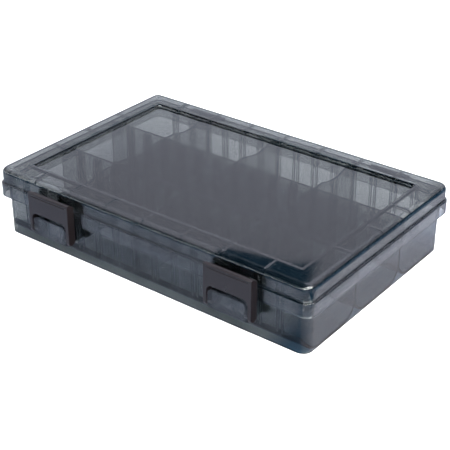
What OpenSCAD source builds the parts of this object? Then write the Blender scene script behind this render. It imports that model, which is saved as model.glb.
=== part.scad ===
// Lidded tackle case: a smoke-grey moulded tray with three troughs, lift-out
// dividers, a hinged lid and two swing latches. Millimetres, +Z up.
// Origin: centre of the footprint, on the surface that the tray stands on.
// The latches are on the -Y side, the hinges on the +Y side.

/* [Case] */
// Width over the tray's rim, left to right
case_w = 275; // [230:1:340]
// Depth over the tray's rim, latch side to hinge side, without hinges and latches
case_d = 180; // [150:1:230]
// Radius of the rim's upright corners
corner_r = 7.8; // [7:0.1:12]

/* [Tray] */
// Height of the parting line, where the lid sits down on the rim
parting_z = 41; // [36:0.5:60]
// Height of the rim's down-turned band
rim_h = 10.4; // [8:0.1:12]
// Overhang of the rim beyond the tray's wall
rim_overhang = 4.2; // [3.8:0.1:5]
// Thickness of the rim's band and of its top web
rim_t = 1.6; // [1.4:0.1:2]
// Radius of the rim's upper edge
rim_edge_r = 1; // [0.5:0.1:1.2]
// Thickness of the tray's outer wall
wall_t = 1.8; // [1.4:0.1:2.2]
// Thickness of the troughs' floor
floor_t = 2; // [1.5:0.1:3]
// Height of the wall above the parting line, inside the lid
collar_h = 6; // [4:0.1:6.5]
// Radius of the troughs' rounded bottom corners
trough_r = 12; // [8:0.5:14]
// Thickness of the two long partitions between the troughs
partition_t = 1.8; // [1.4:0.1:2.4]
// Gap between the partitions' top edges and the lid's panel
partition_gap = 0.5; // [0.3:0.1:2]

/* [Divider slots] */
// Distance from one divider slot to the next
slot_pitch = 17.2; // [14:0.1:22]
// Width of a slot, between its two ribs
slot_w = 2.2; // [2:0.1:3]
// Width of one rib beside a slot
rib_w = 1.5; // [1:0.1:2]
// Height of a rib above the wall that carries it
rib_d = 1.6; // [1:0.1:2]
// Drop from the wall's top edge to the ribs' tops
rib_drop = 1; // [0.5:0.1:3]
// Least distance from a trough's end to the first slot
slot_margin = 12; // [8:0.5:16]

/* [Dividers] */
// Thickness of a divider
divider_t = 1.6; // [1.2:0.1:1.8]
// Clearance of a divider at each side of its trough
divider_clear = 0.3; // [0.2:0.05:0.5]
// Height that the dividers stay below the partitions' top edges
divider_drop = 0.7; // [0.3:0.1:3]
// Radius of the finger dip in a divider's top edge
dip_r = 40; // [30:1:60]
// Depth of the finger dip
dip_h = 3; // [1:0.5:6]

/* [Lid] */
// Height of the lid above the parting line
lid_h = 11.7; // [10.5:0.1:14]
// Inset of the lid's side faces from the rim's face
lid_inset = 1.4; // [1:0.1:1.6]
// Thickness of the lid
lid_t = 1.8; // [1.5:0.1:2]
// Radius of the lid's upper edge
lid_edge_r = 4.6; // [3:0.1:5]
// Gap at the parting line
seam_gap = 0.2; // [0.1:0.05:0.4]
// Width of the raised frame round the lid's panel
frame_w = 18; // [14:0.5:24]
// Depth of the lid's recessed panel
recess_depth = 2.4; // [1.5:0.1:2.5]
// Radius of the panel's corners
recess_r = 1.5; // [1.3:0.1:5]
// Radius of the recess's upper and lower edges
recess_edge_r = 0.8; // [0.4:0.1:1]
// Distance between the stiffening ribs across the long frame bands
lid_rib_pitch_x = 33.4; // [28:0.1:40]
// Distance between the stiffening ribs across the short frame bands
lid_rib_pitch_y = 36; // [30:0.5:50]
// Thickness of a stiffening rib
lid_rib_t = 1.2; // [0.8:0.1:1.5]
// Height of a stiffening rib
lid_rib_h = 1.8; // [1:0.1:2]

/* [Latches] */
// Distance of each latch's middle from the end of the case
latch_inset = 58.5; // [50:0.5:66]
// Width of a latch
latch_w = 38.5; // [34:0.5:46]
// Distance of a latch's face in front of the rim
latch_proud = 6.8; // [6.4:0.1:7.6]
// Thickness of a latch's face plate
latch_t = 2.4; // [2:0.1:2.6]
// Width of a latch's legs
leg_w = 2.8; // [2.4:0.1:3.6]
// Height of the latch's pivot above the table
pivot_z = 18.6; // [17.5:0.1:20]
// Height of the face plate's lower edge above the pivot
opening_h = 13.2; // [12.5:0.1:14]
// Radius of the opening's upper corners
opening_r = 4.5; // [3:0.1:6]
// Thickness of the lip that hooks over the lid
lip_t = 1.6; // [1.4:0.1:2]
// Rise of the face plate above the lip
plate_rise = 2.5; // [1.5:0.1:3]
// Width of the rolled bead along the face plate's top edge
bead_w = 2.2; // [1.8:0.1:2.6]
// Diameter of the nubs that the latch swings on
nub_d = 3.2; // [2.8:0.1:3.4]
// Running clearance round a nub
nub_clear = 0.1; // [0.05:0.05:0.15]
// Gap between a latch and what it passes
latch_gap = 0.35; // [0.3:0.05:0.45]

/* [Latch lugs] */
// Distance of a lug's face behind the latch's face
lug_setback = 0.7; // [0.5:0.1:1]
// Wall of the hollow lug
lug_t = 1.8; // [1.5:0.1:2]
// Thickness of the lug's two cheeks
lug_cheek_t = 2.6; // [2.2:0.1:3]
// Gap between the lug and the latch's legs
lug_gap = 0.7; // [0.35:0.05:0.9]
// Height of the lug's top above the pivot
lug_top = 10.6; // [10:0.1:11.2]
// Depth of the lug's underside below the pivot
lug_drop = 3.6; // [3.2:0.1:4]
// Height of the catch on the lid that the lip hooks over
catch_h = 1.8; // [1.5:0.1:2.2]
// Reach of the catch in front of the lid's side face
catch_reach = 3.6; // [3:0.1:4]
// Width of the catch
catch_w = 29; // [24:0.5:30]

/* [Hinges] */
// Distance of each hinge's middle from the end of the case
hinge_inset = 52.5; // [45:0.5:60]
// Outer diameter of the hinge barrels
barrel_d = 6.4; // [6:0.1:7]
// Diameter of the hinge pin
hinge_pin_d = 2.4; // [2:0.1:2.6]
// Clearance of the pin in the lid's barrel
pin_clear = 0.1; // [0.05:0.05:0.15]
// Length of the lid's barrel in a hinge
lid_barrel_l = 14; // [10:0.5:18]
// Length of each tray barrel beside it
tray_barrel_l = 8; // [6:0.5:10]
// Gap between neighbouring barrels, and from them to the rim
barrel_gap = 0.4; // [0.3:0.05:0.6]

/* [Hidden] */
$fn = 64;
overlap = 0.5;
wall_w = case_w - 2 * rim_overhang;
wall_d = case_d - 2 * rim_overhang;
wall_r = corner_r - wall_t / 3;
inner_w = wall_w - 2 * wall_t;
inner_d = wall_d - 2 * wall_t;
collar_top = parting_z + collar_h;
case_h = parting_z + lid_h;
panel_z = case_h - recess_depth - lid_t;
partition_top = panel_z - partition_gap;
trough_count = 3;
trough_d = (inner_d - (trough_count - 1) * partition_t) / trough_count;
trough_pitch = trough_d + partition_t;
slot_count = 2 * floor((inner_w / 2 - slot_margin) / slot_pitch + 0.5);
rib_top = collar_top - rib_drop;
rib_bottom = floor_t + trough_r - sqrt(pow(trough_r, 2) - pow(trough_r - rib_d, 2)) + overlap;
divider_top = partition_top - divider_drop;
// Slots that hold a divider, counted from the middle of the case
divider_steps = [-4.5, -0.5, 3.5];
row_names = ["front", "middle", "back"];
column_names = ["left", "centre", "right"];
sides = [-1, 1];
side_names = ["left", "right"];

lid_w = case_w - 2 * lid_inset;
lid_d = case_d - 2 * lid_inset;
lid_r = corner_r - lid_inset;
lid_z = parting_z + seam_gap;
frame_in_w = lid_w - 2 * frame_w;
frame_in_d = lid_d - 2 * frame_w;

latch_face_y = -case_d / 2 - latch_proud;
latch_back_y = -case_d / 2 - latch_gap;
latch_depth = latch_back_y - latch_face_y;
pivot_y = latch_face_y + latch_depth / 2;
catch_top = lid_z + catch_h;
lip_z = catch_top + latch_gap;
lip_top = lip_z + lip_t;
latch_top = lip_top + plate_rise;
latch_inner_w = latch_w - 2 * leg_w;
latch_x = case_w / 2 - latch_inset;
lug_w = latch_inner_w - 2 * lug_gap;
lug_face_y = latch_face_y + lug_setback;
lug_back_y = -wall_d / 2;

barrel_r = barrel_d / 2;
hinge_x = case_w / 2 - hinge_inset;
hinge_y = case_d / 2 + barrel_gap + barrel_r;
hinge_l = lid_barrel_l + 2 * (barrel_gap + tray_barrel_l);

smoke = [0.32, 0.35, 0.39];
smoke_light = [0.42, 0.45, 0.49];
latch_black = [0.16, 0.15, 0.16];
steel = [0.7, 0.72, 0.74];

// ---- Helpers ----

// Rectangle of w by d with round corners of radius r, centred
module rounded_rect(w, d, r) {
    square([w - 2 * r, d], center = true);
    square([w, d - 2 * r], center = true);
    for (x = sides, y = sides)
        translate([x * (w / 2 - r), y * (d / 2 - r)]) circle(r);
}

// Upright rounded prism between two heights
module prism(w, d, r, z0, z1) {
    translate([0, 0, z0]) linear_extrude(z1 - z0) rounded_rect(w, d, r);
}

// Upright rounded tube, t thick inside its outline
module ring(w, d, r, t, z0, z1) {
    translate([0, 0, z0]) linear_extrude(z1 - z0) difference() {
        rounded_rect(w, d, r);
        rounded_rect(w - 2 * t, d - 2 * t, r - t);
    }
}

// Sweeps a wall profile round a rectangle of w by d with round corners of radius r. The
// profile has x = 0 at the middle of a corner and x = r at the outer face
module sweep(w, d, r) {
    spans = [w - 2 * r, d - 2 * r];
    for (quarter = [0 : 3]) {
        out = spans[quarter % 2] / 2;
        run = spans[(quarter + 1) % 2];
        rotate(90 * quarter) translate([out, run / 2, 0]) {
            rotate([90, 0, 0]) linear_extrude(run) children();
            rotate_extrude(angle = 90) children();
        }
    }
}

// Half of a closed box profile, x wide, whose upper edge is rolled over with radius e
module rolled_profile(x, e, z0, z1) {
    translate([0, z0]) square([x, z1 - e - z0]);
    translate([0, z0]) square([x - e, z1 - z0]);
    translate([x - e, z1 - e]) intersection() {
        circle(e);
        square(e);
    }
}

// Box between two corners
module block(low, high) {
    translate(low) cube(high - low);
}

// A profile drawn in Y and Z, drawn out along X about x
module across(x, width) {
    translate([x - width / 2, 0, 0]) rotate([90, 0, 90]) linear_extrude(width) children();
}

// A profile drawn in X and Z, drawn out from y0 to y1
module along(y0, y1) {
    translate([0, y1, 0]) rotate([90, 0, 0]) linear_extrude(y1 - y0) children();
}

function trough_y(row) = (row - (trough_count - 1) / 2) * trough_pitch;
function slot_x(step) = step * slot_pitch;

// ---- Tray ----

// Round-bottomed trough profile, w wide, with its floor at z and corners of radius r
module trough_profile(w, z, r, top) {
    translate([-w / 2, z + r]) square([w, top - z - r]);
    translate([-w / 2 + r, z]) square([w - 2 * r, r + overlap]);
    for (y = sides)
        translate([y * (w / 2 - r), z + r]) circle(r);
}

// Curved floors of the troughs, hollow underneath where two of them meet
module trough_floors() {
    top = floor_t + trough_r;
    intersection() {
        across(0, inner_w + overlap) difference() {
            intersection() {
                for (row = [0 : trough_count - 1])
                    translate([trough_y(row), 0])
                        trough_profile(trough_d + 2 * wall_t, floor_t - wall_t,
                                       trough_r + wall_t, top + overlap);
                translate([-(inner_d + overlap) / 2, 0]) square([inner_d + overlap, top]);
            }
            for (row = [0 : trough_count - 1])
                translate([trough_y(row), 0])
                    trough_profile(trough_d, floor_t, trough_r, top + overlap);
        }
        prism(wall_w - wall_t, wall_d - wall_t, wall_r - wall_t / 2, -overlap, top + overlap);
    }
    for (row = [0 : trough_count - 1])
        translate([0, trough_y(row), 0])
            block([-inner_w / 2 - overlap / 2, -trough_d / 2 + trough_r, 0],
                  [inner_w / 2 + overlap / 2, trough_d / 2 - trough_r, floor_t / 2]);
}

// Long partitions between the troughs
module partitions(z0, z1) {
    for (row = [1 : trough_count - 1])
        translate([0, (row - trough_count / 2) * trough_pitch, 0])
            block([-inner_w / 2 - overlap / 2, -partition_t / 2, z0],
                  [inner_w / 2 + overlap / 2, partition_t / 2, z1]);
}

// Outline of one side of a trough, from left to right, with a pair of ribs at each slot.
// The wall is at y = 0 and the ribs stand out to y = rib_d * side
function ribbed_side(side) = [
    for (i = [0 : slot_count - 1], edge = [0 : 7])
        let (half = edge < 2 || edge > 5 ? slot_w / 2 + rib_w : slot_w / 2,
             raised = (edge > 0 && edge < 3) || (edge > 4 && edge < 7))
            [slot_x(i - (slot_count - 1) / 2) + (edge < 4 ? -half : half), raised ? rib_d * side : 0]];

// Plan of one trough between its ribbed walls
module trough_plan() {
    near = [for (p = ribbed_side(1)) p + [0, -trough_d / 2]];
    far = [for (p = ribbed_side(-1)) p + [0, trough_d / 2]];
    polygon(concat(
        [[-inner_w / 2, -trough_d / 2]], near, [[inner_w / 2, -trough_d / 2]],
        [[inner_w / 2, trough_d / 2]], [for (i = [len(far) - 1 : -1 : 0]) far[i]],
        [[-inner_w / 2, trough_d / 2]]));
}

// Walls round and between the troughs, with the slot ribs
module ribbed_walls() {
    translate([0, 0, rib_bottom]) linear_extrude(rib_top - rib_bottom) difference() {
        rounded_rect(wall_w, wall_d, wall_r);
        intersection() {
            rounded_rect(inner_w, inner_d, wall_r - wall_t);
            for (row = [0 : trough_count - 1])
                translate([0, trough_y(row)]) trough_plan();
        }
    }
}

// Rim: a web round the wall and a band turned down from it
module rim() {
    inset = (rim_edge_r + rim_t) / 2;
    sweep(case_w, case_d, corner_r) difference() {
        rolled_profile(corner_r, rim_edge_r, parting_z - rim_h, parting_z);
        translate([-overlap, parting_z - rim_h - overlap])
            square([corner_r - rim_t + overlap, rim_h + 2 * overlap]);
    }
    translate([0, 0, parting_z - rim_t]) linear_extrude(rim_t) difference() {
        rounded_rect(case_w - 2 * inset, case_d - 2 * inset, corner_r - inset);
        rounded_rect(wall_w - wall_t, wall_d - wall_t, wall_r - wall_t / 2);
    }
}

// Outline of a latch lug seen from the front
module lug_outline(w, top, r) {
    translate([-w / 2, -lug_drop]) square([w, top + lug_drop - r]);
    translate([-w / 2 + r, -lug_drop]) square([w - 2 * r, top + lug_drop]);
    for (x = sides)
        translate([x * (w / 2 - r), top - r]) circle(r);
}

// Hollow lug under the rim, open below, with a bore in each cheek for the latch's nubs
module latch_lug() {
    lug_r = opening_r - latch_gap;
    translate([0, 0, pivot_z]) difference() {
        along(lug_face_y, lug_back_y + wall_t / 2) lug_outline(lug_w, lug_top, lug_r);
        translate([0, 0, -overlap]) along(lug_face_y + lug_t, lug_back_y)
            lug_outline(lug_w - 2 * lug_cheek_t, lug_top - lug_t + overlap, lug_r - lug_t);
        translate([0, pivot_y, 0]) rotate([0, 90, 0])
            for (x = sides)
                translate([0, 0, x * (lug_w - lug_cheek_t) / 2])
                    cylinder(d = nub_d + 2 * nub_clear, h = lug_cheek_t + 2 * overlap,
                             center = true);
    }
}

// Barrel of length l about the hinge line, with a web to the wall at web_y
module hinge_barrel(l, bore_d, web_y, web_z0, web_z1) {
    difference() {
        union() {
            translate([-l / 2, hinge_y, parting_z]) rotate([0, 90, 0])
                cylinder(d = barrel_d, h = l);
            block([-l / 2, web_y, web_z0], [l / 2, hinge_y, web_z1]);
        }
        translate([-l / 2 - overlap, hinge_y, parting_z]) rotate([0, 90, 0])
            cylinder(d = bore_d, h = l + 2 * overlap);
    }
}

module tray() color(smoke) {
    ring(wall_w, wall_d, wall_r, wall_t, 0, rib_bottom);
    ribbed_walls();
    ring(wall_w, wall_d, wall_r, wall_t, rib_top, collar_top);
    partitions(rib_top, partition_top);
    trough_floors();
    rim();
    for (s = sides) {
        translate([s * latch_x, 0, 0]) latch_lug();
        for (side = sides)
            translate([s * hinge_x + side * (hinge_l - tray_barrel_l) / 2, 0, 0])
                hinge_barrel(tray_barrel_l, hinge_pin_d, case_d / 2 - rim_t / 2,
                             parting_z - barrel_r, parting_z);
    }
}

// ---- Dividers ----

module divider(row, column) color(smoke_light) {
    w = trough_d - 2 * divider_clear;
    r = trough_r;
    translate([0, trough_y(row), 0]) across(slot_x(divider_steps[column]), divider_t)
        difference() {
            trough_profile(w, floor_t, r, divider_top);
            translate([0, divider_top + dip_r - dip_h]) circle(dip_r);
        }
}

// ---- Lid ----

// Rib under the frame's +Y band, from the panel's step into the rolled edge. The lid's side
// face is half away from its middle
module frame_rib(x, half) {
    z0 = case_h - lid_t - lid_rib_h;
    z1 = case_h - lid_t / 2;
    across(x, lid_rib_t) polygon([
        [half - frame_w + lid_t / 2, z0],
        [half - lid_t / 2, z0],
        [half - lid_edge_r / 2, z1],
        [half - frame_w + lid_t / 2, z1]]);
}

// Stiffening ribs under all four bands of the frame
module frame_ribs() {
    count_x = floor(frame_in_w / 2 / lid_rib_pitch_x);
    count_y = floor(frame_in_d / 2 / lid_rib_pitch_y);
    for (turn = [0, 180], i = [-count_x : count_x])
        rotate(turn) frame_rib(i * lid_rib_pitch_x, lid_d / 2);
    for (turn = [90, 270], i = [-count_y : count_y])
        rotate(turn) frame_rib(i * lid_rib_pitch_y, lid_w / 2);
}

// Step between the frame and the recessed panel, rounded above and below
module step_profile() {
    e = recess_edge_r;
    difference() {
        translate([recess_r, panel_z]) square([lid_t, recess_depth + lid_t]);
        difference() {
            translate([recess_r - overlap, case_h - e]) square([e + overlap, e + overlap]);
            translate([recess_r + e, case_h - e]) circle(e);
        }
    }
    difference() {
        translate([recess_r - e, panel_z + lid_t / 2]) square([e + lid_t / 2, e + lid_t / 2]);
        translate([recess_r - e, panel_z + lid_t + e]) circle(e);
    }
}

// Ledge on the lid's front that a latch hooks over
module lid_catch() {
    y0 = -lid_d / 2 - catch_reach;
    across(0, catch_w) polygon([
        [y0, lid_z],
        [y0, catch_top - catch_h / 4],
        [y0 + catch_h / 4, catch_top],
        [-lid_d / 2 + lid_t / 2, catch_top],
        [-lid_d / 2 + lid_t / 2, lid_z]]);
}

module lid() color(smoke) {
    sweep(lid_w, lid_d, lid_r) difference() {
        rolled_profile(lid_r, lid_edge_r, lid_z, case_h);
        rolled_profile(lid_r - lid_t, lid_edge_r - lid_t, lid_z - overlap, case_h - lid_t);
    }
    translate([0, 0, case_h - lid_t]) linear_extrude(lid_t) difference() {
        square([lid_w - 2 * lid_r, lid_d - 2 * lid_r], center = true);
        rounded_rect(frame_in_w + 3 * recess_edge_r, frame_in_d + 3 * recess_edge_r,
                     recess_r + 1.5 * recess_edge_r);
    }
    sweep(frame_in_w + 2 * lid_t, frame_in_d + 2 * lid_t, recess_r + lid_t) step_profile();
    prism(frame_in_w + lid_t, frame_in_d + lid_t, recess_r + lid_t / 2, panel_z, panel_z + lid_t);
    frame_ribs();
    for (s = sides) {
        translate([s * latch_x, 0, 0]) lid_catch();
        translate([s * hinge_x, 0, 0])
            hinge_barrel(lid_barrel_l, hinge_pin_d + 2 * pin_clear, lid_d / 2 - lid_t / 2,
                         lid_z, parting_z + barrel_r);
    }
}

// ---- Latches ----

// Front of the latch: a plate over an opening with round upper corners
module latch_front() {
    top = latch_top - pivot_z;
    difference() {
        translate([-latch_w / 2, 0]) square([latch_w, top]);
        translate([-latch_inner_w / 2, -overlap])
            square([latch_inner_w, opening_h - opening_r + overlap]);
        translate([-latch_inner_w / 2 + opening_r, -overlap])
            square([latch_inner_w - 2 * opening_r, opening_h + overlap]);
        for (x = sides)
            translate([x * (latch_inner_w / 2 - opening_r), opening_h - opening_r])
                circle(opening_r);
    }
}

// Cheek seen from the side: an upright strip with a round foot about the pivot
module cheek_profile() {
    top = latch_top - pivot_z;
    polygon([
        [latch_face_y, 0],
        [latch_face_y, top - bead_w / 2],
        [latch_face_y + bead_w / 2, top],
        [latch_face_y + latch_t, top],
        [latch_back_y, lip_top - pivot_z],
        [latch_back_y, 0]]);
    translate([latch_face_y + bead_w / 2, top - bead_w / 2]) circle(d = bead_w);
    translate([pivot_y, 0]) circle(d = latch_depth);
}

module latch(x) color(latch_black) translate([x, 0, pivot_z]) {
    top = latch_top - pivot_z;
    difference() {
        union() {
            along(latch_face_y, latch_face_y + latch_t) latch_front();
            for (s = sides)
                across(s * (latch_w - leg_w) / 2, leg_w) cheek_profile();
            block([-latch_w / 2, latch_face_y + latch_t / 2, lip_z - pivot_z],
                  [latch_w / 2, latch_back_y, lip_top - pivot_z]);
        }
        // The plate's top front edge is rounded along the bead
        across(0, latch_w + 2 * overlap) difference() {
            translate([latch_face_y - overlap, top - bead_w / 2])
                square([bead_w / 2 + overlap, bead_w / 2 + overlap]);
            translate([latch_face_y + bead_w / 2, top - bead_w / 2]) circle(d = bead_w);
        }
        // Shallow groove under the bead
        across(0, latch_w - 2 * leg_w)
            translate([latch_face_y, top - bead_w]) circle(d = bead_w / 4);
    }
    for (s = sides)
        translate([s * (latch_inner_w - lug_cheek_t - lug_gap) / 2, pivot_y, 0])
            rotate([0, 90, 0])
                cylinder(d = nub_d, h = lug_cheek_t + lug_gap + overlap / 2, center = true);
}

// ---- Hinge pins ----

module hinge_pin(x) color(steel)
    translate([x, hinge_y, parting_z]) rotate([0, 90, 0])
        cylinder(d = hinge_pin_d, h = hinge_l, center = true);

// ---- Assembly ----

tray();
lid();
for (i = [0 : 1]) {
    latch(sides[i] * latch_x);
    hinge_pin(sides[i] * hinge_x);
}
for (row = [0 : 2], column = [0 : 2])
    divider(row, column);
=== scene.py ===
# Lidded tackle case: looks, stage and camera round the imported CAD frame. Metres, +Z up,
# latches towards -Y, hinges towards +Y.
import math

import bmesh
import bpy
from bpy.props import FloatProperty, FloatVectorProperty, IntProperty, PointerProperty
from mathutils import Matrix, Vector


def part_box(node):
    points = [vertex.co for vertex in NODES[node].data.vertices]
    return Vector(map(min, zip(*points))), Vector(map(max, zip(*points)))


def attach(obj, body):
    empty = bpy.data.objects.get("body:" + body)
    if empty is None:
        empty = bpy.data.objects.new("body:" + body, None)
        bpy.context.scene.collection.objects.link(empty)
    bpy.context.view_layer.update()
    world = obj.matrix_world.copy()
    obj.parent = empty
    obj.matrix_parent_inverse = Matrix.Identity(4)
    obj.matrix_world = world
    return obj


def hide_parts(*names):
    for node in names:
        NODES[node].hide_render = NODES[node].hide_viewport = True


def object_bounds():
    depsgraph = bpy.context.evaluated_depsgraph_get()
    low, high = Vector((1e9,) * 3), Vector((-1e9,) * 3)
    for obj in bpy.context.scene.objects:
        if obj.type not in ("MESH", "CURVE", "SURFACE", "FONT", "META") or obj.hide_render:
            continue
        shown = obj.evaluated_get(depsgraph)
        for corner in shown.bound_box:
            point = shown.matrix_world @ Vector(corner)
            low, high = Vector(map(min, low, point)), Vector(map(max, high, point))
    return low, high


bl_info = {
    "name": "Lidded tackle case",
    "version": (1, 0, 0),
    "blender": (4, 5, 0),
    "location": "3D Viewport > Sidebar > Tackle case",
    "description": "Smoke-grey lidded tackle case with troughs, lift-out dividers and "
                   "swing latches",
    "category": "Add Mesh",
}

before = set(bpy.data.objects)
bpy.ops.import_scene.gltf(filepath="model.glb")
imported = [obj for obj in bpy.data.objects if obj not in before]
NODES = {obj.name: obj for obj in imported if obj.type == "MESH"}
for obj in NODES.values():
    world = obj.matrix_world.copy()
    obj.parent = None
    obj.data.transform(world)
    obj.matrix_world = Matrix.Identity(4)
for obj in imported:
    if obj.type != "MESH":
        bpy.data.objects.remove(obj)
CAD_BOX = [list(corner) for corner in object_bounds()]
DIVIDERS = sorted(name for name in NODES if name.startswith("divider_"))

# Lengths are in metres, and a pair named a ramp is where it starts and ends.
# Depth of the lid over its side faces, and width of its frame
LID_DEPTH = 0.1772
FRAME_BAND = 0.0175
# Distance between the ribs under the lid's long and short bands
RIB_PITCH = (0.0334, 0.036)
# Width of the strip along the recess where the lid's frame rolls off
ROLL_WIDTH = 0.002
# Half the width of a sink mark, and the ramp inwards from the lid's edge where they begin
MARK_HALF_WIDTH = 0.0009
MARK_RAMP = (0.0025, 0.004)
# Ramps of the corners darkened with painted shade: x times y in square metres, and the depth
# of their skin
PAINTED_SHADE_CORNER_RAMP = (0.0103, 0.0112)
SKIN_RAMP = (0.002, 0.004)
# A copied mesh's points closer than MERGE are joined, its edges flatter than FLAT are
# dissolved, and those sharper than SHARP are rounded
MERGE = 1e-6
FLAT = math.radians(0.3)
SHARP = math.radians(40)
# Half the floor's width, and its height, just under the case so that no faces coincide
FLOOR_HALF = 4.0
FLOOR_Z = -0.0004
# Lamps: name, width and height, place, aim, whether gloss mirrors the lamp, and whether it
# lights rough surfaces
LAMPS = (
    ("key", (1.6, 0.4), (0.74, -0.56, 0.92), (0.0, 0.0, 0.0), False, True),
    ("glint", (2.0, 0.6), (0.74, -0.56, 0.92), (0.0, 0.0, 0.0), True, False),
    ("side", (0.8, 0.8), (0.9, 0.15, 0.8), (0.45, 0.15, 0.0), False, True),
    ("strip", (2.2, 0.22), (-0.76, -1.28, 0.22), (0.0, 0.0, 0.05), True, True),
    ("front", (1.4, 0.25), (0.25, -1.3, 0.6), (0.0, 0.0, 0.05), True, True),
)


# ---- Settings ----

def colour(name, description, default):
    return FloatVectorProperty(name=name, description=description, subtype="COLOR",
                               size=3, min=0.0, max=1.0, default=default)


def share(name, description, default):
    return FloatProperty(name=name, description=description, subtype="FACTOR",
                         min=0.0, max=1.0, default=default)


def length(name, description, default):
    return FloatProperty(name=name, description=description, subtype="DISTANCE",
                         unit="LENGTH", min=0.0, soft_max=1.0, default=default, precision=5)


def strength(name, description, default):
    return FloatProperty(name=name, description=description, min=0.0, default=default)


def angle(name, description, degrees):
    return FloatProperty(name=name, description=description, subtype="ANGLE",
                         default=math.radians(degrees))


class SmokePlasticSettings(bpy.types.PropertyGroup):
    tint: colour("Tint", "Colour that a thick piece of the plastic lets through",
                 (0.40, 0.43, 0.43))
    absorption: strength("Absorption", "How strongly the plastic darkens, per metre", 700.0)
    divider_absorption: strength("Divider absorption", "The same for the dividers", 800.0)
    ior: FloatProperty(name="Refractive index", min=1.0, max=2.0, default=1.49,
                       description="How much the plastic bends light")
    roughness: share("Roughness", "Blur of the moulded surface", 0.035)
    ripple: length("Ripple", "Height of the slow waves left by the mould", 0.00001)
    ripple_size: length("Ripple size", "Distance from one slow wave to the next", 0.03)
    warp: length("Warp", "Fall of the lid's front band at its right end", 0.0001)
    sag: length("Sag", "Depth of the lid's panel in its middle", 0.0002)
    # Painted shade: share of the light that the two darkened corners let through
    corner: share("Corner", "Share of the light that the darker corners let through", 0.4)
    sink: length("Sink", "Depth of the sink marks over the lid's ribs", 0.00012)
    roll: length("Roll", "Fall of the lid's frame along the recess", 0.00025)


class DividerSettings(bpy.types.PropertyGroup):
    columns: IntProperty(name="Columns", description="Dividers along a trough", min=1,
                         default=3)
    rows: IntProperty(name="Rows", description="Troughs with dividers", min=1, default=3)
    edge: length("Edge", "Radius of the dividers' moulded edges", 0.0003)


class LatchSettings(bpy.types.PropertyGroup):
    colour: colour("Colour", "Colour of the latches", (0.012, 0.008, 0.008))
    roughness: share("Roughness", "Blur of the latches' surface", 0.3)
    gloss: share("Gloss", "Strength of the latches' mirror light", 0.3)
    edge: length("Edge", "Radius of the latches' moulded edges", 0.0004)
    grain: length("Grain", "Height of the mould's spark-eroded grain", 0.00003)
    grain_size: length("Grain size", "Size of one grain", 0.0005)


class PinSettings(bpy.types.PropertyGroup):
    colour: colour("Colour", "Colour of the steel hinge pins", (0.62, 0.63, 0.65))
    roughness: share("Roughness", "Blur of the drawn wire", 0.28)


class StageSettings(bpy.types.PropertyGroup):
    floor: colour("Floor", "Colour of the floor", (0.93, 0.9, 0.84))
    shade_front: colour("Front shade", "Colour of the floor before the case in mirror images",
                        (0.50, 0.54, 0.63))
    shade_right: colour("Right shade", "Colour of the floor right of the case in mirror "
                        "images", (0.64, 0.63, 0.68))
    glow: strength("Floor glow", "Brightness added to the floor where it is seen directly",
                   1.0)
    reach: length("Reach", "How far the lit floor reaches beside the case in mirror images",
                  0.055)
    # Painted shadow of the case on the floor, with a darker strip of it below the right wall
    under: share("Under", "Brightness of the floor below the case", 0.55)
    under_right: share("Under the right wall", "Share of that brightness along a strip "
                       "below the right wall", 0.2)
    light: colour("Light", "Colour of the studio lamps", (0.99, 1.0, 1.0))
    sky: colour("Sky", "Colour of the pale backdrop", (0.81, 0.84, 1.0))
    backdrop: strength("Backdrop", "Brightness of the pale backdrop behind the case", 1.12)
    backdrop_top: angle("Backdrop height", "Angle above the horizon where the backdrop ends",
                        30.9)
    grey_wall: share("Grey wall", "Share of the backdrop in the wall in front", 0.35)
    boost: strength("Boost", "Gain of the pale walls' brightness with their height", 1.0)
    room: colour("Room", "Colour of the dark room beyond the backdrop", (0.06, 0.16, 0.27))
    key: strength("Key light", "Power of the soft box over the camera, in watts", 24.0)
    side: strength("Side light", "Power of the soft light on the right, in watts", 7.0)
    strip: strength("Strip light", "Power of the low strip on the left, in watts", 6.0)
    glint: strength("Glint", "Power of the lamp that only gloss mirrors, in watts", 100.0)
    front: strength("Front light", "Power of the strip between the key and the low strip, "
                    "in watts", 5.0)
    azimuth: angle("Camera azimuth", "Angle of the camera round the case, from the front",
                   37.5314)
    elevation: angle("Camera elevation", "Angle of the camera above the horizon", 29.2142)
    roll: angle("Camera roll", "Turn of the camera about its line of sight", 0.003)
    focal: FloatProperty(name="Focal length", subtype="DISTANCE_CAMERA", default=92.12,
                         description="Focal length over a sensor 36 mm wide")
    eye: FloatVectorProperty(name="Camera place", subtype="XYZ", unit="LENGTH", size=3,
                             default=(0.45167, -0.5834, 0.42373),
                             description="Where the camera stands")


def settings():
    return bpy.context.scene.tackle_case


class TackleCaseSettings(bpy.types.PropertyGroup):
    smoke: PointerProperty(type=SmokePlasticSettings)
    divider: PointerProperty(type=DividerSettings)
    latch: PointerProperty(type=LatchSettings)
    pin: PointerProperty(type=PinSettings)
    stage: PointerProperty(type=StageSettings)


# ---- Materials ----

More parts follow.
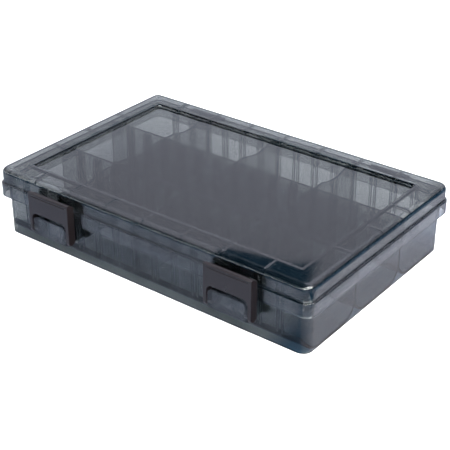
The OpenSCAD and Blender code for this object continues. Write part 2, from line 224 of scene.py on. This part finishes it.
class NodeTree:
    """The nodes of a material or a world, made and linked by name."""

    def __init__(self, owner):
        self.owner = owner
        owner.use_nodes = True
        self.nodes = owner.node_tree.nodes
        self.links = owner.node_tree.links
        self.nodes.clear()

    def add(self, kind, inputs=None, **options):
        node = self.nodes.new(kind)
        for key, value in options.items():
            setattr(node, key, value)
        for key, value in (inputs or {}).items():
            if isinstance(value, bpy.types.NodeSocket):
                self.links.new(value, node.inputs[key])
            else:
                node.inputs[key].default_value = value
        return node

    def noise(self, size, detail):
        """Noise on Object coordinates whose features are about size metres wide."""
        place = self.add("ShaderNodeTexCoord")
        return self.add("ShaderNodeTexNoise", {
            "Vector": place.outputs["Object"], "Scale": 1.0 / size,
            "Detail": detail}).outputs["Fac"]

    def math(self, operation, *values):
        return self.add("ShaderNodeMath", dict(enumerate(values)),
                        operation=operation).outputs[0]

    def product(self, first, *others):
        for other in others:
            first = self.math("MULTIPLY", first, other)
        return first

    def axis(self, name, space="Object"):
        """X, Y or Z of the coordinates in that space."""
        place = self.add("ShaderNodeTexCoord")
        return self.add("ShaderNodeSeparateXYZ", {0: place.outputs[space]}).outputs[name]

    def ramp(self, value, start, end, low=0.0, high=1.0, **options):
        """low up to start, high from end on."""
        return self.add("ShaderNodeMapRange", {
            "Value": value, "From Min": start, "From Max": end, "To Min": low,
            "To Max": high}, **options).outputs[0]

    def spread(self, value, low, high):
        """The 0 to 1 value mapped to low to high."""
        return self.ramp(value, 0.0, 1.0, low, high)

    def inset(self, width, depth):
        """Way inwards from the edge of a width by depth plate on the Z axis."""
        return self.math("MINIMUM", *(
            self.math("SUBTRACT", size / 2, self.math("ABSOLUTE", self.axis(name)))
            for size, name in ((width, "X"), (depth, "Y"))))

    def bump(self, height, distance, normal=None):
        inputs = {"Height": height, "Distance": distance, "Strength": 1.0}
        if normal is not None:
            inputs["Normal"] = normal
        return self.add("ShaderNodeBump", inputs).outputs["Normal"]

    def ray(self, kind):
        """1 where light is followed by a ray of that kind, and 0 elsewhere."""
        return self.add("ShaderNodeLightPath").outputs[f"Is {kind} Ray"]

    def mix(self, part, first, second):
        """Shader that is first where part is 0 and second where it is 1."""
        return self.add("ShaderNodeMixShader", {0: part, 1: first.outputs[0],
                                                2: second.outputs[0]})


def rgba(value):
    return (*value[:3], 1.0)


def lid_form(t, s, width, depth):
    """Height of the moulded lid: its frame rolls off along the recess, sinks over its ribs,
    and falls towards the front at its right end. The panel sags in the middle."""
    x, y, inset = t.axis("X"), t.axis("Y"), t.inset(width, depth)
    long, short = width / 2 - FRAME_BAND, depth / 2 - FRAME_BAND
    inner = t.ramp(inset, FRAME_BAND - ROLL_WIDTH, FRAME_BAND, s.roll, 0.0)
    outer = t.ramp(y, -depth / 2, -short, 1.0, 0.0)
    # The fall begins at the second rib right of the middle
    second_rib = 2 * RIB_PITCH[0]
    fall = t.product(outer, outer,
                     t.ramp(x, second_rib - 0.0015, second_rib + 0.001, 0.0, -s.warp))
    far_x, far_y = t.math("ABSOLUTE", x), t.math("ABSOLUTE", y)
    # Product of two parabolas over the panel, and 0 over the frame
    bowl = [t.ramp(t.product(far, far), 0.0, half * half, 1.0, 0.0)
            for far, half in ((far_x, long), (far_y, short))]
    sag = t.product(*bowl, -s.sag)
    marks = []
    for far, edge, along, half, pitch in ((far_y, short, x, long, RIB_PITCH[0]),
                                          (far_x, long, y, short, RIB_PITCH[1])):
        band = t.product(t.math("GREATER_THAN", far, edge),
                         t.math("LESS_THAN", t.math("ABSOLUTE", along), half))
        mark = t.ramp(t.math("PINGPONG", along, pitch / 2), 0.0, MARK_HALF_WIDTH, -s.sink, 0.0)
        marks.append(t.product(band, mark))
    sinks = t.product(t.math("ADD", *marks), t.ramp(inset, *MARK_RAMP))
    return t.math("ADD", t.math("ADD", t.math("ADD", inner, fall), sag), sinks)


def painted_corner_shade(t, s):
    """Share of the light that the surface lets through: less in the skin of two opposite
    corners, painted shade that darkens them. That is a guess from the photo's darker corners."""
    (left, _, _), (right, _, _) = CAD_BOX
    corner = t.ramp(t.product(t.axis("X"), t.axis("Y")), *PAINTED_SHADE_CORNER_RAMP)
    skin = t.ramp(t.inset(right - left, LID_DEPTH), *SKIN_RAMP, 1.0, 0.0)
    return t.spread(t.product(corner, skin), 1.0, s.corner)


def smoke_plastic(name, absorption, crowned=None):
    """Clear smoke-grey moulding: bends and mirrors light, and darkens it by the way it goes.
    crowned is the width and depth of a lid whose frame isn't quite flat."""
    s = settings().smoke
    t = NodeTree(bpy.data.materials.new(name))
    waves = t.noise(s.ripple_size, detail=1.0)
    haze = t.noise(0.012, detail=4.0)
    normal = t.bump(waves, s.ripple)
    if crowned:
        normal = t.bump(lid_form(t, s, *crowned), 1.0, normal)
    plastic = t.add("ShaderNodeBsdfPrincipled", {
        # The base colour carries painted shade in two opposite corners
        "Base Color": painted_corner_shade(t, s),
        "Roughness": t.spread(haze, s.roughness * 0.4, s.roughness * 1.6),
        "IOR": s.ior, "Transmission Weight": 1.0, "Normal": normal})
    # Light from the lamps and the room passes straight through, so that the inside is lit
    clear = t.add("ShaderNodeBsdfTransparent", {"Color": (0.95, 0.95, 0.95, 1.0)})
    surface = t.mix(t.math("MAXIMUM", t.ray("Shadow"), t.ray("Diffuse")), plastic, clear)
    volume = t.add("ShaderNodeVolumeAbsorption", {"Color": rgba(s.tint),
                                                  "Density": absorption})
    t.add("ShaderNodeOutputMaterial", {"Surface": surface.outputs[0],
                                       "Volume": volume.outputs[0]})
    return t.owner


def latch_plastic():
    """Brown-black moulding with a fine eroded grain and a slowly changing gloss."""
    s = settings().latch
    t = NodeTree(bpy.data.materials.new("latch_black"))
    grain = t.noise(s.grain_size, detail=3.0)
    cloud = t.noise(0.01, detail=3.0)
    t.add("ShaderNodeOutputMaterial", {"Surface": t.add("ShaderNodeBsdfPrincipled", {
        "Base Color": rgba(s.colour),
        "Roughness": t.spread(cloud, s.roughness * 0.8, s.roughness * 1.2),
        "IOR": 1.5, "Specular IOR Level": s.gloss,
        "Normal": t.bump(grain, s.grain)}).outputs[0]})
    return t.owner


def pin_steel():
    """Drawn steel wire with fine lines along its length."""
    s = settings().pin
    t = NodeTree(bpy.data.materials.new("pin_steel"))
    place = t.add("ShaderNodeTexCoord")
    # Lines about 25 mm long and a quarter of a millimetre wide
    stretch = t.add("ShaderNodeMapping", {"Vector": place.outputs["Object"],
                                          "Scale": (40.0, 4000.0, 4000.0)})
    lines = t.add("ShaderNodeTexNoise", {"Vector": stretch.outputs[0], "Scale": 1.0,
                                         "Detail": 3.0}).outputs["Fac"]
    t.add("ShaderNodeOutputMaterial", {"Surface": t.add("ShaderNodeBsdfPrincipled", {
        "Base Color": rgba(s.colour), "Metallic": 1.0,
        "Roughness": t.spread(lines, s.roughness * 0.7, s.roughness * 1.3),
        "Normal": t.bump(lines, 0.00001)}).outputs[0]})
    return t.owner


def dress(name, material):
    """Gives a CAD node a material, on all of its faces."""
    slots = NODES[name].material_slots
    if slots:
        for slot in slots:
            slot.material = material
    else:
        NODES[name].data.materials.append(material)


# ---- Shapes ----

def add_object(name, mesh):
    obj = bpy.data.objects.new(name, mesh)
    bpy.context.scene.collection.objects.link(obj)
    return obj


def plain(obj):
    """Turns an object's modifiers into its mesh."""
    bpy.context.view_layer.update()
    seen = obj.evaluated_get(bpy.context.evaluated_depsgraph_get())
    mesh = bpy.data.meshes.new_from_object(seen)
    mesh.name = obj.name
    obj.modifiers.clear()
    obj.data = mesh
    return obj


def rounded_copy(node, name, radius):
    """The CAD node's shape again, with its sharp edges rounded as a mould leaves them."""
    form = bmesh.new()
    form.from_mesh(NODES[node].data)
    bmesh.ops.remove_doubles(form, verts=form.verts, dist=MERGE)
    bmesh.ops.dissolve_limit(form, angle_limit=FLAT, verts=form.verts, edges=form.edges)
    mesh = bpy.data.meshes.new(name)
    form.to_mesh(mesh)
    form.free()
    obj = add_object(name, mesh)
    bevel = obj.modifiers.new("Round edges", "BEVEL")
    bevel.width = radius
    bevel.segments = 3
    bevel.limit_method = "ANGLE"
    bevel.angle_limit = SHARP
    bevel.use_clamp_overlap = False
    bevel.harden_normals = True
    plain(obj)
    # A bevel can overshoot where narrow faces meet, so it is held inside the CAD shape's box
    corners = NODES[node].bound_box
    low, high = [[pick(corner[i] for corner in corners) for i in range(3)]
                 for pick in (min, max)]
    for vertex in obj.data.vertices:
        vertex.co = [min(max(vertex.co[i], low[i]), high[i]) for i in range(3)]
    return obj


def divider_grid():
    """Geometry Nodes group: sets one divider in every row and column of the troughs."""
    group = bpy.data.node_groups.new("Divider grid", "GeometryNodeTree")
    face = group.interface
    face.new_socket(name="Geometry", in_out="OUTPUT", socket_type="NodeSocketGeometry")
    face.new_socket(name="Divider", in_out="INPUT", socket_type="NodeSocketGeometry")
    for name, kind in (("Columns", "NodeSocketInt"), ("Rows", "NodeSocketInt"),
                       ("Column span", "NodeSocketFloat"), ("Row span", "NodeSocketFloat"),
                       ("Material", "NodeSocketMaterial")):
        face.new_socket(name=name, in_out="INPUT", socket_type=kind)
    add, link = group.nodes.new, group.links.new
    source, out = add("NodeGroupInput"), add("NodeGroupOutput")
    grid = add("GeometryNodeMeshGrid")
    places = add("GeometryNodeInstanceOnPoints")
    real = add("GeometryNodeRealizeInstances")
    paint = add("GeometryNodeSetMaterial")
    for name, socket in (("Columns", "Vertices X"), ("Rows", "Vertices Y"),
                         ("Column span", "Size X"), ("Row span", "Size Y")):
        link(source.outputs[name], grid.inputs[socket])
    link(grid.outputs["Mesh"], places.inputs["Points"])
    link(source.outputs["Divider"], places.inputs["Instance"])
    link(places.outputs["Instances"], real.inputs["Geometry"])
    link(real.outputs["Geometry"], paint.inputs["Geometry"])
    link(source.outputs["Material"], paint.inputs["Material"])
    link(paint.outputs["Geometry"], out.inputs["Geometry"])
    return group


def middle(node):
    """Middle of a CAD node's box."""
    low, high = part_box(node)
    return (Vector(low) + Vector(high)) / 2


# ---- Operators ----

class TACKLECASE_OT_tray(bpy.types.Operator):
    """Finish the tray with its troughs, rim, slot ribs and latch lugs"""
    bl_idname = "tackle_case.tray"
    bl_label = "Tray"

    def execute(self, context):
        dress("tray", smoke_plastic("smoke_tray", settings().smoke.absorption))
        return {"FINISHED"}


class TACKLECASE_OT_lid(bpy.types.Operator):
    """Finish the hinged lid"""
    bl_idname = "tackle_case.lid"
    bl_label = "Lid"

    def execute(self, context):
        low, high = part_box("lid")
        size = (high[0] - low[0], LID_DEPTH)
        dress("lid", smoke_plastic("smoke_lid", settings().smoke.absorption, size))
        return {"FINISHED"}


class TACKLECASE_OT_dividers(bpy.types.Operator):
    """Set a lift-out divider in every row and column"""
    bl_idname = "tackle_case.dividers"
    bl_label = "Dividers"

    def execute(self, context):
        s = settings()
        first, last = middle("divider_front_left"), middle("divider_back_right")
        dividers = rounded_copy("divider_middle_centre", "dividers", s.divider.edge)
        centre = Vector(((first.x + last.x) / 2, (first.y + last.y) / 2, 0.0))
        own = middle("divider_middle_centre")
        dividers.data.transform(Matrix.Translation((-own.x, -own.y, 0.0)))
        modifier = dividers.modifiers.new("Divider grid", "NODES")
        modifier.node_group = divider_grid()
        values = {"Columns": s.divider.columns, "Rows": s.divider.rows,
                  "Column span": last.x - first.x, "Row span": last.y - first.y,
                  "Material": smoke_plastic("smoke_divider", s.smoke.divider_absorption)}
        for item in modifier.node_group.interface.items_tree:
            if item.name in values and item.in_out == "INPUT":
                modifier[item.identifier] = values[item.name]
        plain(dividers)
        dividers.data.transform(Matrix.Translation(centre))
        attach(dividers, "tray")
        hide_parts(*DIVIDERS)
        return {"FINISHED"}


class TACKLECASE_OT_latches(bpy.types.Operator):
    """Add the two swing latches with their rounded edges"""
    bl_idname = "tackle_case.latches"
    bl_label = "Latches"

    def execute(self, context):
        plastic = latch_plastic()
        for side in ("left", "right"):
            node = f"latch_{side}"
            latch = rounded_copy(node, f"swing_{node}", settings().latch.edge)
            latch.data.materials.append(plastic)
            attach(latch, node)
            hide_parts(node)
        return {"FINISHED"}


class TACKLECASE_OT_pins(bpy.types.Operator):
    """Finish the steel hinge pins"""
    bl_idname = "tackle_case.pins"
    bl_label = "Hinge pins"

    def execute(self, context):
        steel = pin_steel()
        for name in ("hinge_pin_left", "hinge_pin_right"):
            dress(name, steel)
        return {"FINISHED"}


class TACKLECASE_OT_stage(bpy.types.Operator):
    """Set the pale floor, the soft light and the camera"""
    bl_idname = "tackle_case.stage"
    bl_label = "Stage"

    def execute(self, context):
        s = settings().stage
        make_floor(s)
        make_world(s)
        make_lights(s)
        make_camera(s)
        scene = context.scene
        scene.view_settings.view_transform = "Standard"
        # A ray through the lid, a divider and the tray crosses many surfaces
        scene.cycles.max_bounces = 32
        scene.cycles.transmission_bounces = 28
        scene.cycles.transparent_max_bounces = 40
        scene.cycles.glossy_bounces = 8
        return {"FINISHED"}


def make_floor(s):
    """Pale floor, white where it is seen directly. In mirror images and through the plastic
    it is shaded round the case, and dark beyond its lit part."""
    mesh = bpy.data.meshes.new("floor")
    mesh.from_pydata([(x * FLOOR_HALF, y * FLOOR_HALF, FLOOR_Z)
                      for x, y in ((-1, -1), (1, -1), (1, 1), (-1, 1))], [], [(0, 1, 2, 3)])
    floor = add_object("floor", mesh)
    t = NodeTree(bpy.data.materials.new("floor_paper"))
    paper, dark, right_shade, front_shade = [
        t.add("ShaderNodeBsdfDiffuse", {"Color": rgba(tint)})
        for tint in (s.floor, s.room, s.shade_right, s.shade_front)]
    glow = t.add("ShaderNodeEmission", {"Strength": t.product(t.ray("Camera"), s.glow)})
    seen = t.add("ShaderNodeAddShader", {0: paper.outputs[0], 1: glow.outputs[0]})
    (left, front, _), (right, back, _) = CAD_BOX
    x, y = t.axis("X"), t.axis("Y")
    lit = t.product(t.ramp(x, right + s.reach, right + 1.2 * s.reach, 1.0, 0.0),
                    t.ramp(y, front - 2.1 * s.reach, front - 1.6 * s.reach))
    # Painted shadow: the lit part is darker below the case, and more so along a strip below
    # its right wall
    below = t.ramp(t.inset(right - left, back - front), 0.003, 0.007, 1.0, s.under)
    strip = t.math("SUBTRACT", t.ramp(x, right - 0.04, right - 0.02),
                   t.ramp(x, right - 0.008, right - 0.005))
    lit = t.product(lit, below, t.spread(strip, 1.0, s.under_right))
    shaded = t.mix(t.ramp(x, right - 0.04, right - 0.007), paper, right_shade)
    shaded = t.mix(t.ramp(y, front + 0.007, front + 0.003), shaded, front_shade)
    both = t.mix(t.ray("Camera"), t.mix(lit, dark, shaded), seen)
    t.add("ShaderNodeOutputMaterial", {"Surface": both.outputs[0]})
    mesh.materials.append(t.owner)


def make_world(s):
    """Pale backdrop behind the case, pale walls on its right and left, a grey wall in front
    of it, and a dark room beyond them. Seen directly, the room is white."""
    t = NodeTree(bpy.data.worlds.new("studio"))
    bpy.context.scene.world = t.owner

    def ramp(axis, start, end, low=0.0, high=1.0):
        """Smooth ramp over X, Y or Z of a direction, which is 1 long."""
        return t.ramp(t.axis(axis, "Generated"), start, end, low, high,
                      interpolation_type="SMOOTHSTEP")

    edge = math.sin(s.backdrop_top)
    backdrop = ramp("Z", edge - 0.003, edge + 0.004, 1.0, 0.0)
    right_wall = ramp("X", -0.462, -0.45)
    behind = ramp("Y", 0.05, 0.3)
    low_right = t.product(ramp("X", 0.4, 0.55), ramp("Z", 0.25, 0.34, 1.0, 0.0))
    left_wall = t.product(ramp("X", -0.525, -0.532), ramp("Y", -0.68, -0.62))
    # Only views from behind mirror the grey wall
    grey_wall = t.product(ramp("Y", -0.3, -0.1, s.grey_wall, 0.0), ramp("X", -0.3, -0.15))
    pale = t.product(t.math("MAXIMUM", backdrop, right_wall),
                     t.product(behind, t.math("SUBTRACT", 1.0, low_right)))
    for wall in (left_wall, grey_wall):
        pale = t.math("MAXIMUM", pale, wall)
    tone = t.add("ShaderNodeMix", {
        "Factor": pale, "A": rgba(s.room), "B": rgba([s.backdrop * part for part in s.sky])},
        data_type="RGBA")
    # The pale walls get brighter with their height, and the room a little to the right
    high = t.math("ADD", t.product(ramp("Z", edge, 0.72), s.boost, pale), 1.0)
    light = t.add("ShaderNodeBackground", {
        "Color": tone.outputs["Result"],
        "Strength": t.product(high, ramp("X", -0.66, -0.4, 0.9, 1.05))})
    paper = t.add("ShaderNodeBackground", {"Color": (1.0, 1.0, 1.0, 1.0)})
    t.add("ShaderNodeOutputWorld", {
        "Surface": t.mix(t.ray("Camera"), light, paper).outputs[0]})


def make_lights(s):
    """One area lamp for each row of LAMPS, with its power from the settings."""
    for name, size, place, aim, mirrored, lights_rough in LAMPS:
        lamp = bpy.data.lights.new(name, "AREA")
        lamp.shape = "RECTANGLE"
        lamp.size, lamp.size_y = size
        lamp.energy = getattr(s, name)
        lamp.color = s.light
        obj = add_object(name, lamp)
        obj.location = place
        way = Vector(aim) - Vector(place)
        obj.rotation_euler = way.to_track_quat("-Z", "Y").to_euler()
        obj.visible_glossy = mirrored
        obj.visible_diffuse = lights_rough


def make_camera(s):
    """Camera at the photo's viewing angle."""
    a, e = s.azimuth, s.elevation
    forward = Vector((-math.sin(a) * math.cos(e), math.cos(a) * math.cos(e), -math.sin(e)))
    right = Vector((math.cos(a), math.sin(a), 0.0))
    up = right.cross(forward)
    turn = Matrix.Rotation(-s.roll, 3, forward)
    right, up = turn @ right, turn @ up
    data = bpy.data.cameras.new("camera")
    data.sensor_width = 36.0
    data.lens = s.focal
    data.clip_start, data.clip_end = 0.01, 50.0
    camera = add_object("camera", data)
    pose = Matrix((right, up, -forward)).transposed().to_4x4()
    pose.translation = Vector(s.eye)
    camera.matrix_world = pose
    bpy.context.scene.camera = camera


class TACKLECASE_PT_panel(bpy.types.Panel):
    """Sizes, finishes and steps of the tackle case"""
    bl_idname = "TACKLECASE_PT_panel"
    bl_label = "Tackle case"
    bl_space_type = "VIEW_3D"
    bl_region_type = "UI"
    bl_category = "Tackle case"

    def draw(self, context):
        groups = context.scene.tackle_case
        for title, group in (("Smoke plastic", groups.smoke), ("Dividers", groups.divider),
                             ("Latches", groups.latch), ("Hinge pins", groups.pin),
                             ("Stage", groups.stage)):
            box = self.layout.box()
            box.label(text=title)
            for key in group.__annotations__:
                box.prop(group, key)
        for step in STEPS:
            self.layout.operator(step.bl_idname)


STEPS = (TACKLECASE_OT_tray, TACKLECASE_OT_lid, TACKLECASE_OT_dividers,
         TACKLECASE_OT_latches, TACKLECASE_OT_pins, TACKLECASE_OT_stage)
GROUPS = (SmokePlasticSettings, DividerSettings, LatchSettings, PinSettings, StageSettings,
          TackleCaseSettings)
CLASSES = GROUPS + STEPS + (TACKLECASE_PT_panel,)


def register():
    for item in CLASSES:
        bpy.utils.register_class(item)
    bpy.types.Scene.tackle_case = PointerProperty(type=TackleCaseSettings)


def unregister():
    del bpy.types.Scene.tackle_case
    for item in reversed(CLASSES):
        bpy.utils.unregister_class(item)


def main():
    register()
    for step in STEPS:
        family, name = step.bl_idname.split(".")
        getattr(getattr(bpy.ops, family), name)()


if __name__ == "__main__":
    main()
